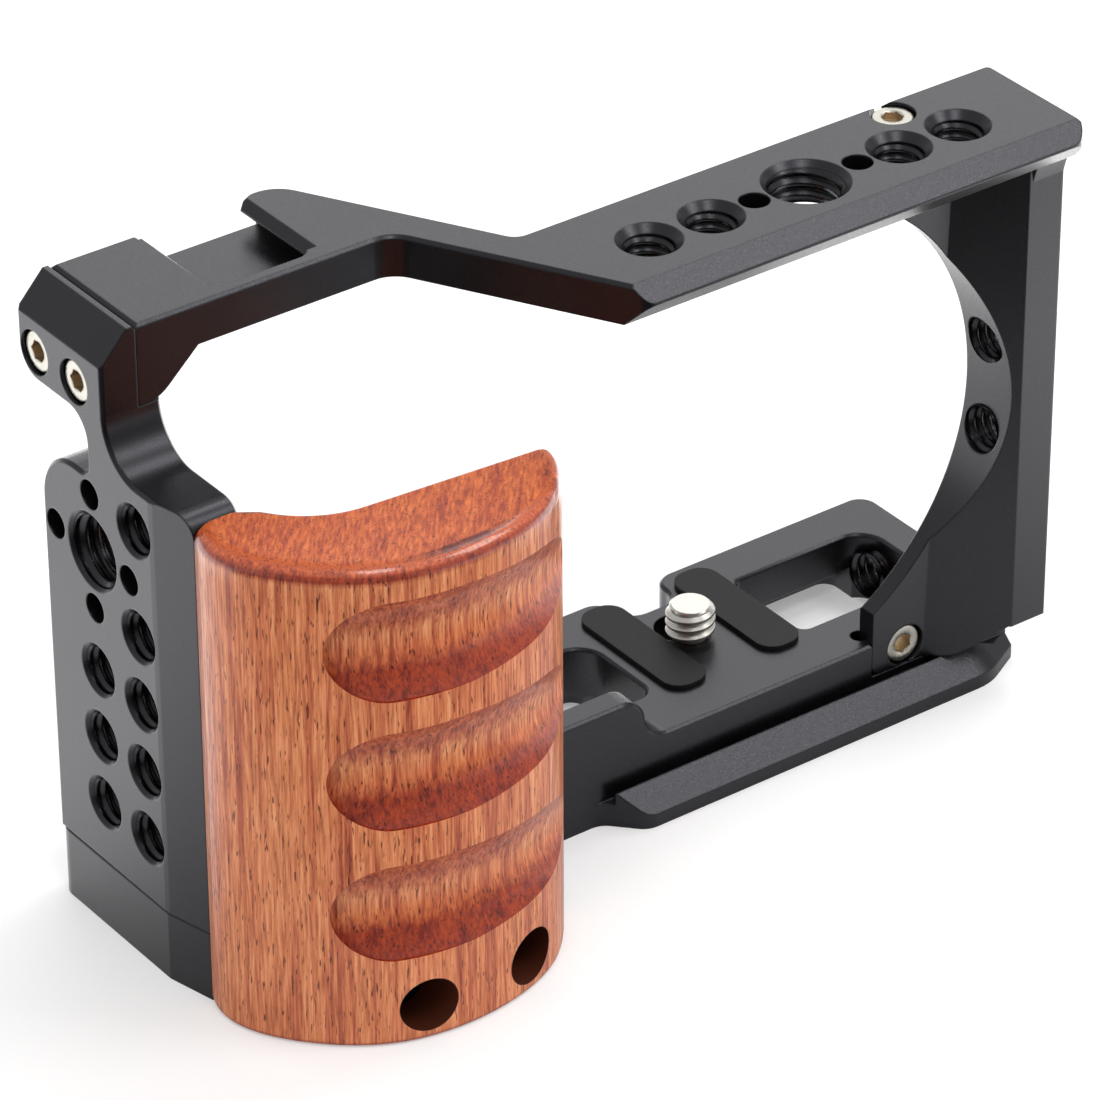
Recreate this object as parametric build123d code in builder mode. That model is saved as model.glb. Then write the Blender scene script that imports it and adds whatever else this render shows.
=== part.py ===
"""Camera cage: side plate, top arm, lens-side plate and base around a small camera, with a wooden hand grip.

Millimetres. X runs along the camera's width, -Y is the lens side, +Z is up. The origin is on the camera
screw's axis at the bottom of the base.
"""
import os

from build123d import *

os.makedirs("parts", exist_ok=True)

# Fits
SCREW_GAP = 0.05  # screw shank or dowel in its hole, radial
SEAT_GAP = 0.2  # screw head in its counterbore, radial
MOVE_GAP = 0.3  # between pieces that move past each other
RUN_GAP = 0.05  # running fit, radial
EASE = 0.4  # small edge breaks on the machined plates
REACH = 60.0  # length of cuts that run right through

# Main planes of the cage
LEFT_X = -86.0  # outer face of the side plate
RIGHT_X = 39.0  # outer edge of the base and the lens-side plate
TOP_Z = 83.7
BASE_TOP = 9.7  # face the camera stands on
REAR_Y = 13.5  # rear edge of the base
FRONT_Y = -15.6  # front face of the base and of the lens-side plate's foot

# Threads
TAP_R = 3.1  # 1/4-20 thread, out to its roots
BIG_TAP_R = 4.7  # 3/8-16 thread, out to its roots
PIN_R = 1.9  # locating pin holes beside a 3/8 thread
PIN_DEPTH = 4.0
PIN_OFFSET = 7.75
SIDE_SINK_R = 3.55  # rim of a 1/4 thread on the side plate
TOP_SINK_R = 4.1  # rim of a 1/4 thread on the top bar
SIDE_BIG_SINK_R = 5.15
TOP_BIG_SINK_R = 5.5

# Socket screws
HEAD_R = 2.65
HEAD_H = 1.7
HEAD_EASE = 0.35
SOCKET_R = 1.4
SOCKET_DEPTH = 1.2
SHANK_R = 1.5
SEAT_DEPTH = 2.1  # heads lie just below the face

# Side plate
SIDE_T = 8.0
SIDE_IN_X = LEFT_X + SIDE_T
SIDE_REAR_Y = 12.7
FACET_Y = -10.6  # where the outer face turns in towards the grip
GRIP_FACE_Y = -17.2  # front edge of the side plate, against the grip
FACET_IN = 1.6
NECK_FRONT_Y = -1.3
NECK_REAR_Y = 2.5
HEAD_REAR_Y = 16.3
SHOULDER_FRONT_Z = TOP_Z - 16.9
SHOULDER_REAR_Z = TOP_Z - 20.1
HEAD_LOW_Z = TOP_Z - 12.2
SEAM_X = LEFT_X + 4.95  # head part of the plate is thinner, the arm sits inside it
SEAM_Z = HEAD_LOW_Z + 1.5
SEAM_GROOVE = 0.45  # edge breaks that make the V groove along the seam
HEAD_BEVEL_X = 3.75
HEAD_BEVEL_Z = 4.1
BIG_HOLE_Y = 2.3
BIG_HOLE_Z = SHOULDER_REAR_Z - 10.1
FRONT_COLUMN_Y = -6.9
LOW_HOLE_Z = BASE_TOP + 8.55
HIGH_HOLE_Z = SHOULDER_FRONT_Z - 5.9
HOLE_PITCH = (HIGH_HOLE_Z - LOW_HOLE_Z) * 9.4 / 42.65  # 9.4 at this height
HEAD_SCREW_Y = (4.5, 12.8)
HEAD_SCREW_Z = SEAM_Z + 2.3
HEAD_SCREW_L = 6.4

# Top arm and bar
ARM_T = 5.4
ARM_LOW_Z = TOP_Z - ARM_T
BLOCK_END_X = LEFT_X + 16.6  # right side of the block, the cold shoe starts here
BLOCK_CORNER_R = 0.7
GUSSET_X = LEFT_X + 13.4
GUSSET_R = 5.0
BAR_REAR_Y = -10.6
BAR_NOSE_Y = -29.8
BAR_BEVEL = 2.15
NOSE_LAND = 0.25
UNDER_BEVEL = 2.75
NOSE_END_R = 2.5
NOSE_START_R = 2.0
BAR_END_X = RIGHT_X - 2.1
DIAGONAL_RUN = 16.1  # run in X of the slanted arm's front edge from the arm to the nose
ARM_CORNER_X = BLOCK_END_X + 23.8
HOOK_TIP_X = BLOCK_END_X + 14.1
HOOK_TIP_RUN = 1.7
HOOK_REAR_Y = 16.7
HOOK_CORNER_X = HOOK_TIP_X + 5.6
BAR_HOLES_X = 0.8
BAR_HOLES_Y = -20.4
INNER_HOLE = 14.1  # 1/4 threads from the 3/8 thread along the bar
OUTER_HOLE = 23.2

# Cold shoe
SHOE_LEAD = 1.1  # bevel along the top of each lip
SHOE_GAP = 13.0  # between the lips
SHOE_LIP = 2.85
SHOE_LIP_T = 1.3
SHOE_SLOT_T = 2.4
SHOE_FRONT_Y = 0.4
SHOE_REAR_Y = 15.5
SHOE_MID_X = BLOCK_END_X + SHOE_LEAD + SHOE_GAP / 2
SHOE_END_X = SHOE_MID_X + SHOE_GAP / 2 + SHOE_LIP
SHOE_FLOOR_Z = TOP_Z - SHOE_LIP_T - SHOE_SLOT_T
SHOE_CORNER_R = 2.0

# Lens-side plate
LENS_BACK_Y = -12.9
FOOT_X = RIGHT_X - 22.0
FOOT_LOW_Z = 4.9
FOOT_TOP_Z = 15.1
LENS_FRONT_Y = -22.8
TURN_LOW_X = RIGHT_X - 14.0  # foot face to slanted face, at the bottom
TURN_HIGH_X = RIGHT_X - 11.3  # and below the bar
LAND_X = RIGHT_X - 5.3  # slanted face to outer face
FLARE_X = LAND_X + 0.5  # the outer face flares forward below the bar from here
FLARE = ((1.8, 0.5), (4.7, 1.9))  # rise above its low edge and reach in front of the face
HAUNCH_Z = ARM_LOW_Z - 3.7  # above this the plate is as deep as the bar's rear face
LENS_LEFT_X = RIGHT_X - 26.0
LENS_CORNER_R = 3.0
FOOT_CORNER_R = 1.5
FOOT_RELIEF_R = 1.2  # round relief in the corner of the pocket for the foot
FOOT_RUN_X = RIGHT_X - 10.8  # the foot's outer edge slants from here
FOOT_OUT_X = RIGHT_X - 5.6  # up to here, where the plate stands on the base
BORE_X = RIGHT_X - 40.4
BORE_Z = ARM_LOW_Z - 35.1
BORE_R = 34.3
CHORD_X = BORE_X + 25.0  # lower end of the round cut-out
WALL_HOLE_Y = -17.2
WALL_HOLE_DZ = 6.45
BAR_SCREW = (BAR_END_X - 17.3, BAR_REAR_Y - 2.8)
BAR_SCREW_L = 6.6
FOOT_SCREW = (FOOT_X + 5.3, FOOT_LOW_Z + 2.8)
FOOT_SCREW_L = 5.2

# Base
BASE_CORNER_R = 2.5
NOTCH_HALF = 4.0
NOTCH_Y = 7.8
NOTCH_R = 2.8
RAIL_Y = -20.1  # front of the dovetail rail
RAIL_LIP = 1.85
RAIL_RISE = 3.0
RAIL_START_X = -25.9  # the rail leaves the base's front face here
RAIL_LEFT_X = -21.7
RAIL_END_R = 3.0
RAIL_TURN_X = RIGHT_X - 5.9  # and slants back from here to the base's right side
RAIL_TURN_Y = -16.9
RAIL_TURN_R = 8.0
RAIL_LAND = 0.2
RAIL_GROOVE = 1.6  # depth of the groove between the rail and the front face
CURB_TOP_Z = BASE_TOP + 6.6
CURB_TURN_Z = BASE_TOP + 3.4  # where its rounded end turns from hollow to full
CURB_BACK_Y = -12.2
CURB_LEFT_X = LEFT_X + 48.4  # clear of the rounding beside the grip
CURB_RIGHT_X = -15.5
WINDOW_EASE = 0.35
WINDOW_FRONT_Y = -7.5
WINDOW_REAR_Y = 6.8
LEFT_WINDOW_X = (LEFT_X + 50.0, -11.7)
RIGHT_WINDOW_X = (12.15, RIGHT_X - 5.4)
LEFT_WINDOW_R = 2.0
RIGHT_WINDOW_R = 1.2
WINDOW_FRONT_R = 2.0  # corner at the front right
WINDOW_REAR_R = 4.0  # corner at the rear right
LEFT_POCKET_Z = 2.8  # roof of the shallow pocket below the left window
RIGHT_POCKET_Z = 4.2
RIGHT_POCKET_X = (12.15, RIGHT_X - 7.5)
POCKET_REAR_Y = 11.5
END_HOLE_Y = 4.0
END_HOLE_Z = 4.6
END_HOLE_DEPTH = 9.5  # opens into the right window past its rounded corner
SIDE_SCREW_Y = (-13.2, 8.6)
SIDE_SCREW_X = LEFT_X + 4.4
SIDE_SCREW_L = 14.5

# Rubber pads
PAD_T = 0.6
PAD_W = 6.2
PAD_L = 21.1
PAD_Y = 1.05
PAD_X = (-6.65, 8.15)
PAD_CORNER_R = 2.6

# Camera screw in its slot
THREAD_R = 3.175
THREAD_BEVEL = 0.8
SCREW_TOP_Z = 14.5
THREAD_LOW_Z = BASE_TOP + PAD_T + MOVE_GAP
SLOT_HALF = 2.6
ENTRY_R = THREAD_R + SCREW_GAP
ENTRY_Y = 2.3
WEB_LOW_Z = 5.4
CHANNEL_HALF = 9.3
CHANNEL_FRONT_Y = -11.6
NECK_R = SLOT_HALF - MOVE_GAP
KNOB_R = 5.2
WASHER_R = 5.0
WASHER_T = 0.5
KNOB_TOP_Z = WEB_LOW_Z - 2 * MOVE_GAP - WASHER_T
KNOB_T = 3.3
PIVOT_Z = KNOB_TOP_Z - KNOB_T / 2
RING_WIRE_R = 0.8
RING_R = 7.3

# Grip
GRIP_TOP_Z = SHOULDER_FRONT_Z - 0.8
GRIP_TOP_R = 2.2
GRIP_LOW_R = 0.8
GRIP_END_R = 1.0
GROOVE_Z = [GRIP_TOP_Z - drop for drop in (47.2, 28.8, 11.2)]
GROOVE_HALF = 6.7
GROOVE_DEPTH_R = 28.35  # how close the finger grooves come to the axis they curve round
GROOVE_AXIS = (LEFT_X + 25.7, -9.0)
GROOVE_SECTION_R = 11.3
GROOVE_REACH = 3.0  # how far the groove cutter reaches past its deepest line
GROOVE_X = (LEFT_X + 7.7, LEFT_X + 43.2)
GRIP_SCREW_X = (LEFT_X + 17.9, LEFT_X + 33.1)
GRIP_SCREW_Z = 4.9
GRIP_BORE_R = 3.6
GRIP_SHANK_R = 2.0
GRIP_HEAD_R = 3.45
GRIP_HEAD_H = 4.0
GRIP_SEAT_Y = -28.4
GRIP_SCREW_L = 12.0
WASHER_H = 0.8
GRIP_BACK = (  # outline from above, on the camera's side
    (LEFT_X + 44.9, -26.35),
    (LEFT_X + 14.3, -24.05),
    (LEFT_X + 9.9, -18.4),
    (LEFT_X + 8.2, GRIP_FACE_Y),
)
GRIP_BACK_R = (12.5, 0.8)  # radii of its two corners
GRIP_FRONT = (  # outline from above, on the fingers' side
    (LEFT_X + 0.7, -21.7),
    (LEFT_X + 5.7, -31.4),
    (LEFT_X + 14.2, -37.7),
    (LEFT_X + 24.5, -39.5),
    (LEFT_X + 32.9, -38.2),
    (LEFT_X + 38.0, -35.9),
    (LEFT_X + 42.4, -31.9),
    (LEFT_X + 44.8, -27.6),
)
GRIP_DOWEL_Z = (22.0, 50.0)

# Dowels
DOWEL_R = 1.5
DOWEL_L = 8.0
SHORT_DOWEL_L = 6.0


def round_cut(face, spots, radius, depth, taper=0):
    """Round holes of one depth below a face, cut into the open part."""
    with BuildSketch(face) as discs:
        with Locations(*spots):
            Circle(radius)
    extrude(discs.sketch, amount=-depth, taper=taper, mode=Mode.SUBTRACT)


def screw_seats(face, spots, depth):
    """Counterbores and clearance holes for socket screws, cut into the open part."""
    round_cut(face, spots, HEAD_R + SEAT_GAP, SEAT_DEPTH)
    round_cut(face, spots, SHANK_R + SCREW_GAP, depth)


def rimmed_holes(face, spots, radius, rim_r, depth):
    """Round holes with a 45 degree rim, cut into the open part."""
    round_cut(face, spots, radius, depth)
    round_cut(face, spots, rim_r, rim_r - radius, taper=45)


def socket_screws(seat, spots, head_r, head_h, shank_r, length):
    """Socket screws whose heads rest on a seat plane, as one part of separate solids."""
    with BuildPart() as group:
        with BuildSketch(seat):
            with Locations(*spots):
                Circle(head_r)
        extrude(amount=head_h)
        heads = group.faces().filter_by(lambda face: face.normal_at().dot(seat.z_dir) > 0.9)
        chamfer(heads.edges(), HEAD_EASE)
        with BuildSketch(seat):
            with Locations(*spots):
                Circle(shank_r)
        extrude(amount=-length)
        with BuildSketch(seat.offset(head_h)):
            with Locations(*spots):
                RegularPolygon(radius=SOCKET_R * head_r / HEAD_R, side_count=6)
        extrude(amount=-SOCKET_DEPTH * head_h / HEAD_H, mode=Mode.SUBTRACT)
    return group.part


def dowel_pins(seam, spots, length):
    """Plain dowels centred on a seam plane, half on either side of it."""
    with BuildPart() as group:
        with BuildSketch(seam):
            with Locations(*spots):
                Circle(DOWEL_R)
        extrude(amount=length / 2, both=True)
    return group.part


# Planes that look at the outer faces, and where each group of holes lies on them
left_face = Plane(origin=(LEFT_X, 0, 0), x_dir=(0, -1, 0), z_dir=(-1, 0, 0))
right_face = Plane(origin=(RIGHT_X, 0, 0), x_dir=(0, 1, 0), z_dir=(1, 0, 0))
front_face = Plane(origin=(0, FRONT_Y, 0), x_dir=(1, 0, 0), z_dir=(0, -1, 0))
top_face = Plane.XY.offset(TOP_Z)
bottom_face = Plane(origin=(0, 0, 0), x_dir=(1, 0, 0), z_dir=(0, 0, -1))
side_seam = bottom_face.offset(-BASE_TOP)
arm_seam = left_face.offset(LEFT_X - SEAM_X)
bar_seam = Plane.XY.offset(ARM_LOW_Z)
grip_seam = front_face.offset(FRONT_Y - GRIP_FACE_Y)
grip_seat = front_face.offset(FRONT_Y - GRIP_SEAT_Y)

head_screw_spots = [(-y, HEAD_SCREW_Z) for y in HEAD_SCREW_Y]
side_screw_spots = [(SIDE_SCREW_X, -y) for y in SIDE_SCREW_Y]
grip_screw_spots = [(x, GRIP_SCREW_Z) for x in GRIP_SCREW_X]
arm_dowel_spots = [(-sum(HEAD_SCREW_Y) / 2, HEAD_SCREW_Z + 3.6)]
side_dowel_spots = [(SIDE_SCREW_X, 6.5), (SIDE_SCREW_X, -3.0)]
bar_dowel_spots = [(LENS_LEFT_X + 2.6, LENS_BACK_Y - 0.5), (LAND_X + 0.8, LENS_BACK_Y - 4.1)]
grip_dowel_spots = [(LEFT_X + 4.8, z) for z in GRIP_DOWEL_Z]


def seam_edge(part):
    """The upper edge of a piece along the seam between side plate and arm."""
    middle_y = (NECK_FRONT_Y + HEAD_REAR_Y) / 2
    return part.edges().filter_by(Axis.Y).sort_by_distance((SEAM_X, middle_y, TOP_Z))[0]


# ---------------------------------------------------------------- side plate
big_hole = (-BIG_HOLE_Y, BIG_HOLE_Z)
front_column = [(-FRONT_COLUMN_Y, LOW_HOLE_Z + HOLE_PITCH * n) for n in range(4)]
front_column.append((-FRONT_COLUMN_Y, HIGH_HOLE_Z))
rear_column = [(-BIG_HOLE_Y, LOW_HOLE_Z + HOLE_PITCH * n) for n in range(3)]
side_pins = [
    (-BIG_HOLE_Y + dy, BIG_HOLE_Z + dz)
    for dy, dz in ((PIN_OFFSET, 0), (-PIN_OFFSET, 0), (0, PIN_OFFSET), (0, -PIN_OFFSET))
]

with BuildPart() as side_plate:
    with BuildSketch(Plane(origin=(LEFT_X, 0, 0), x_dir=(0, 1, 0), z_dir=(1, 0, 0))):
        with BuildLine():
            Polyline(
                (SIDE_REAR_Y, BASE_TOP),
                (SIDE_REAR_Y, SHOULDER_REAR_Z),
                (NECK_REAR_Y, SHOULDER_REAR_Z),
                (NECK_REAR_Y, HEAD_LOW_Z),
                (HEAD_REAR_Y, HEAD_LOW_Z),
                (HEAD_REAR_Y, TOP_Z),
                (NECK_FRONT_Y, TOP_Z),
                (NECK_FRONT_Y, SHOULDER_FRONT_Z),
                (GRIP_FACE_Y, SHOULDER_FRONT_Z),
                (GRIP_FACE_Y, BASE_TOP),
                close=True,
            )
        make_face()
    extrude(amount=SIDE_T)
    for y, z, radius in (
        (SIDE_REAR_Y, SHOULDER_REAR_Z, 7.0),
        (NECK_REAR_Y, SHOULDER_REAR_Z, 1.6),
        (NECK_REAR_Y, HEAD_LOW_Z, 3.5),
        (HEAD_REAR_Y, HEAD_LOW_Z, 4.0),
        (NECK_FRONT_Y, SHOULDER_FRONT_Z, 6.5),
        (GRIP_FACE_Y, SHOULDER_FRONT_Z, 3.0),
    ):
        corner = (LEFT_X + SIDE_T / 2, y, z)
        fillet(side_plate.edges().filter_by(Axis.X).sort_by_distance(corner)[0], radius)
    with BuildSketch(Plane.XZ.offset(-HEAD_REAR_Y)):
        with BuildLine():
            Polyline(
                (LEFT_X, TOP_Z - HEAD_BEVEL_Z),
                (LEFT_X + HEAD_BEVEL_X, TOP_Z),
                (LEFT_X, TOP_Z),
                close=True,
            )
        make_face()
    extrude(amount=HEAD_REAR_Y - NECK_FRONT_Y, mode=Mode.SUBTRACT)
    with BuildSketch(Plane.XY.offset(SEAM_Z)):
        with Locations((SEAM_X, 0)):
            Rectangle(SIDE_T, REACH, align=(Align.MIN, Align.CENTER))
    extrude(amount=TOP_Z, mode=Mode.SUBTRACT)
    chamfer(seam_edge(side_plate), SEAM_GROOVE)
    with BuildSketch(Plane.XY):
        with BuildLine():
            Polyline(
                (LEFT_X, FACET_Y),
                (LEFT_X + FACET_IN, GRIP_FACE_Y),
                (LEFT_X, GRIP_FACE_Y),
                close=True,
            )
        make_face()
    extrude(amount=TOP_Z, mode=Mode.SUBTRACT)
    bevel_z = TOP_Z - HEAD_BEVEL_Z
    faces = side_plate.faces().filter_by(Axis.X)
    for face in (faces.sort_by(Axis.X)[0], faces.sort_by(Axis.X)[-1]):
        ease = face.edges().filter_by(lambda e: BASE_TOP + 0.1 < e.center().Z < bevel_z - 0.1)
        chamfer(ease.filter_by(lambda e: abs(e.center().Z - SEAM_Z) > 0.01), EASE)
    rimmed_holes(left_face, [big_hole], BIG_TAP_R, SIDE_BIG_SINK_R, SIDE_T)
    rimmed_holes(left_face, front_column + rear_column, TAP_R, SIDE_SINK_R, SIDE_T)
    round_cut(left_face, side_pins, PIN_R, PIN_DEPTH)
    screw_seats(left_face, head_screw_spots, SIDE_T)
    screw_run = SEAT_DEPTH + SIDE_SCREW_L - BASE_TOP + MOVE_GAP
    round_cut(side_seam, side_screw_spots, SHANK_R + SCREW_GAP, screw_run)
    round_cut(side_seam, side_dowel_spots, DOWEL_R + SCREW_GAP, DOWEL_L / 2)
    round_cut(grip_seam, grip_dowel_spots, DOWEL_R + SCREW_GAP, DOWEL_L / 2)
    round_cut(arm_seam.offset(SHORT_DOWEL_L / 2), arm_dowel_spots, DOWEL_R + SCREW_GAP, SIDE_T)
side_plate.part.label = "side_plate"
export_step(side_plate.part, "parts/side_plate.step")


# ------------------------------------------------------------- top arm and bar
arm_front_y = NECK_FRONT_Y
slant = (BAR_NOSE_Y - arm_front_y) / DIAGONAL_RUN
nose_x = ARM_CORNER_X + DIAGONAL_RUN
slant_rear_x = HOOK_CORNER_X + (BAR_REAR_Y - HOOK_REAR_Y) / slant
bar_spots = [(BAR_HOLES_X + dx, BAR_HOLES_Y) for dx in (-OUTER_HOLE, -INNER_HOLE, INNER_HOLE, OUTER_HOLE)]
bar_pins = [(BAR_HOLES_X + dx, BAR_HOLES_Y) for dx in (-PIN_OFFSET, PIN_OFFSET)]
bevel_low_z = TOP_Z - BAR_BEVEL
land_low_z = bevel_low_z - NOSE_LAND

with BuildPart() as top_arm:
    with BuildSketch(Plane.XY.offset(ARM_LOW_Z)) as arm_outline:
        with BuildLine():
            Polyline(
                (SEAM_X, arm_front_y),
                (ARM_CORNER_X, arm_front_y),
                (nose_x, BAR_NOSE_Y),
                (BAR_END_X, BAR_NOSE_Y),
                (BAR_END_X, BAR_REAR_Y),
                (slant_rear_x, BAR_REAR_Y),
                (HOOK_CORNER_X, HOOK_REAR_Y),
                (HOOK_TIP_X + HOOK_TIP_RUN, HOOK_REAR_Y),
                (HOOK_TIP_X, SHOE_REAR_Y),
                (BLOCK_END_X, SHOE_REAR_Y),
                (BLOCK_END_X, HEAD_REAR_Y),
                (SEAM_X, HEAD_REAR_Y),
                close=True,
            )
        make_face()
        for x, y, radius in (
            (ARM_CORNER_X, arm_front_y, 4.0),
            (nose_x, BAR_NOSE_Y, NOSE_START_R),
            (BAR_END_X, BAR_NOSE_Y, NOSE_END_R),
            (slant_rear_x, BAR_REAR_Y, 2.0),
            (HOOK_CORNER_X, HOOK_REAR_Y, 5.0),
            (HOOK_TIP_X + HOOK_TIP_RUN, HOOK_REAR_Y, 2.2),
            (HOOK_TIP_X, SHOE_REAR_Y, 0.5),
            (BAR_END_X, BAR_REAR_Y, 1.0),
            (BLOCK_END_X, HEAD_REAR_Y, BLOCK_CORNER_R),
        ):
            fillet(arm_outline.vertices().sort_by_distance((x, y, ARM_LOW_Z))[0], radius)
    extrude(amount=ARM_T)
    with BuildSketch(Plane.XZ.offset(-HEAD_REAR_Y)) as gusset:
        with BuildLine():
            Polyline(
                (SEAM_X, SEAM_Z),
                (SIDE_IN_X - MOVE_GAP, SEAM_Z),
                (GUSSET_X, ARM_LOW_Z),
                (GUSSET_X + GUSSET_R, ARM_LOW_Z),
                (GUSSET_X + GUSSET_R, ARM_LOW_Z + 1),
                (SEAM_X, ARM_LOW_Z + 1),
                close=True,
            )
        make_face()
        fillet(gusset.vertices().sort_by_distance((GUSSET_X, HEAD_REAR_Y, ARM_LOW_Z))[0], GUSSET_R)
    extrude(gusset.sketch, amount=HEAD_REAR_Y - arm_front_y)
    rim = top_arm.faces().sort_by(Axis.Z)[-1].edges()
    chamfer(rim.filter_by(lambda e: e.center().X > SEAM_X + 0.1 and e.center().Y > BAR_NOSE_Y + 1), EASE)
    chamfer(seam_edge(top_arm), SEAM_GROOVE)
    for nose_cut in (
        (
            (BAR_NOSE_Y + BAR_BEVEL, TOP_Z),
            (BAR_NOSE_Y - 1, TOP_Z),
            (BAR_NOSE_Y - 1, bevel_low_z),
            (BAR_NOSE_Y, bevel_low_z),
        ),
        (
            (BAR_NOSE_Y, land_low_z),
            (BAR_NOSE_Y - 1, land_low_z),
            (BAR_NOSE_Y - 1, ARM_LOW_Z),
            (BAR_NOSE_Y + UNDER_BEVEL, ARM_LOW_Z),
        ),
    ):
        with BuildSketch(Plane.YZ.offset(nose_x - 5)) as nose_waste:
            with BuildLine():
                Polyline(*nose_cut, close=True)
            make_face()
        extrude(nose_waste.sketch, amount=BAR_END_X - nose_x + 10, mode=Mode.SUBTRACT)
    for width, height in ((SHOE_GAP + 2 * SHOE_LIP, SHOE_SLOT_T), (SHOE_GAP, TOP_Z)):
        with BuildSketch(Plane.XY.offset(SHOE_FLOOR_Z)) as shoe_cut:
            with Locations((SHOE_MID_X, SHOE_FRONT_Y)):
                Rectangle(width, 30, align=(Align.CENTER, Align.MIN))
            fillet(shoe_cut.vertices().group_by(Axis.Y)[0], SHOE_CORNER_R)
        extrude(shoe_cut.sketch, amount=height, mode=Mode.SUBTRACT)
    with BuildSketch(Plane.XY.offset(ARM_LOW_Z)):
        with Locations((BLOCK_END_X, SHOE_REAR_Y)):
            Rectangle(SHOE_END_X - BLOCK_END_X, 5, align=Align.MIN)
    extrude(amount=SHOE_FLOOR_Z - ARM_LOW_Z, mode=Mode.SUBTRACT)
    with BuildSketch(Plane.XZ.offset(-SHOE_FRONT_Y - SHOE_CORNER_R / 2)) as lip_bevels:
        with BuildLine():
            Polyline(
                (SHOE_MID_X - SHOE_GAP / 2 - SHOE_LEAD, TOP_Z),
                (SHOE_MID_X - SHOE_GAP / 2, TOP_Z - SHOE_LEAD),
                (SHOE_MID_X + SHOE_GAP / 2, TOP_Z - SHOE_LEAD),
                (SHOE_MID_X + SHOE_GAP / 2 + SHOE_LEAD, TOP_Z),
                close=True,
            )
        make_face()
    extrude(lip_bevels.sketch, amount=-30, mode=Mode.SUBTRACT)
    rimmed_holes(top_face, [(BAR_HOLES_X, BAR_HOLES_Y)], BIG_TAP_R, TOP_BIG_SINK_R, ARM_T)
    rimmed_holes(top_face, bar_spots, TAP_R, TOP_SINK_R, ARM_T)
    round_cut(top_face, bar_pins, PIN_R, PIN_DEPTH)
    screw_seats(top_face, [BAR_SCREW], ARM_T)
    screw_run = LEFT_X + SEAT_DEPTH + HEAD_SCREW_L - SEAM_X
    round_cut(arm_seam, head_screw_spots, SHANK_R + SCREW_GAP, screw_run)
    round_cut(arm_seam, arm_dowel_spots, DOWEL_R + SCREW_GAP, SHORT_DOWEL_L / 2)
    round_cut(bar_seam.offset(SHORT_DOWEL_L / 2), bar_dowel_spots, DOWEL_R + SCREW_GAP, ARM_T)
top_arm.part.label = "top_arm"
export_step(top_arm.part, "parts/top_arm.step")


# ------------------------------------------------------------ lens-side plate
lens_outline = (
    (FOOT_X, FOOT_LOW_Z),
    (FOOT_RUN_X, FOOT_LOW_Z),
    (FOOT_OUT_X, BASE_TOP),
    (RIGHT_X, BASE_TOP),
    (RIGHT_X, ARM_LOW_Z),
    (LENS_LEFT_X, ARM_LOW_Z),
    (LENS_LEFT_X, BORE_Z),
    (CHORD_X, BORE_Z - 22.6),
    (FOOT_X, FOOT_TOP_Z),
)


def front_waste(z, turn_x):
    """Stock in front of the plate at one height, as a sketch."""
    with BuildSketch(Plane.XY.offset(z)) as waste:
        with BuildLine():
            Polyline(
                (0, FRONT_Y),
                (turn_x, FRONT_Y),
                (LAND_X, LENS_FRONT_Y),
                (RIGHT_X + 1, LENS_FRONT_Y),
                (RIGHT_X + 1, RAIL_Y * 2),
                (0, RAIL_Y * 2),
                close=True,
            )
        make_face()
    return waste.sketch


with BuildPart() as lens_plate:
    with BuildSketch(Plane.XZ.offset(-LENS_BACK_Y)) as lens_face:
        with BuildLine():
            Polyline(*lens_outline, close=True)
        make_face()
        fillet(lens_face.vertices().sort_by_distance((RIGHT_X, LENS_BACK_Y, BASE_TOP))[0], LENS_CORNER_R)
        fillet(lens_face.vertices().sort_by_distance((FOOT_X, LENS_BACK_Y, FOOT_TOP_Z))[0], FOOT_CORNER_R)
        with Locations((BORE_X, BORE_Z)):
            Circle(BORE_R, mode=Mode.SUBTRACT)
    extrude(amount=LENS_BACK_Y - LENS_FRONT_Y)
    rim = lens_plate.faces().sort_by(Axis.Y)[-1].edges()
    chamfer(rim.filter_by(lambda e: e.center().Z > FOOT_TOP_Z and e.center().Z < HAUNCH_Z), EASE)
    with BuildSketch(Plane.XY.offset(HAUNCH_Z)):
        with Locations((LENS_LEFT_X, LENS_BACK_Y)):
            Rectangle(RIGHT_X - LENS_LEFT_X, BAR_REAR_Y - LENS_BACK_Y, align=Align.MIN)
    extrude(amount=ARM_LOW_Z - HAUNCH_Z)
    loft([front_waste(0, TURN_LOW_X), front_waste(ARM_LOW_Z, TURN_HIGH_X)], mode=Mode.SUBTRACT)
    flare_low_z = ARM_LOW_Z - FLARE[-1][0]
    flare_points = [(LENS_FRONT_Y - out, flare_low_z + rise) for rise, out in ((0, 0), *FLARE)]
    with BuildSketch(Plane.YZ.offset(FLARE_X)) as flare:
        with BuildLine():
            ThreePointArc(*flare_points)
            Polyline(flare_points[-1], (LENS_FRONT_Y, ARM_LOW_Z), flare_points[0])
        make_face()
    extrude(flare.sketch, amount=RIGHT_X - FLARE_X)
    wall_holes = [(WALL_HOLE_Y, BORE_Z + WALL_HOLE_DZ), (WALL_HOLE_Y, BORE_Z - WALL_HOLE_DZ)]
    rimmed_holes(right_face, wall_holes, TAP_R, SIDE_SINK_R, RIGHT_X - BORE_X)
    screw_seats(front_face, [FOOT_SCREW], LENS_BACK_Y - FRONT_Y)
    screw_run = BAR_SCREW_L + SEAT_DEPTH - ARM_T
    round_cut(bar_seam, [BAR_SCREW], SHANK_R + SCREW_GAP, screw_run)
    round_cut(bar_seam, bar_dowel_spots, DOWEL_R + SCREW_GAP, SHORT_DOWEL_L / 2)
lens_plate.part.label = "lens_plate"
export_step(lens_plate.part, "parts/lens_plate.step")


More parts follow.
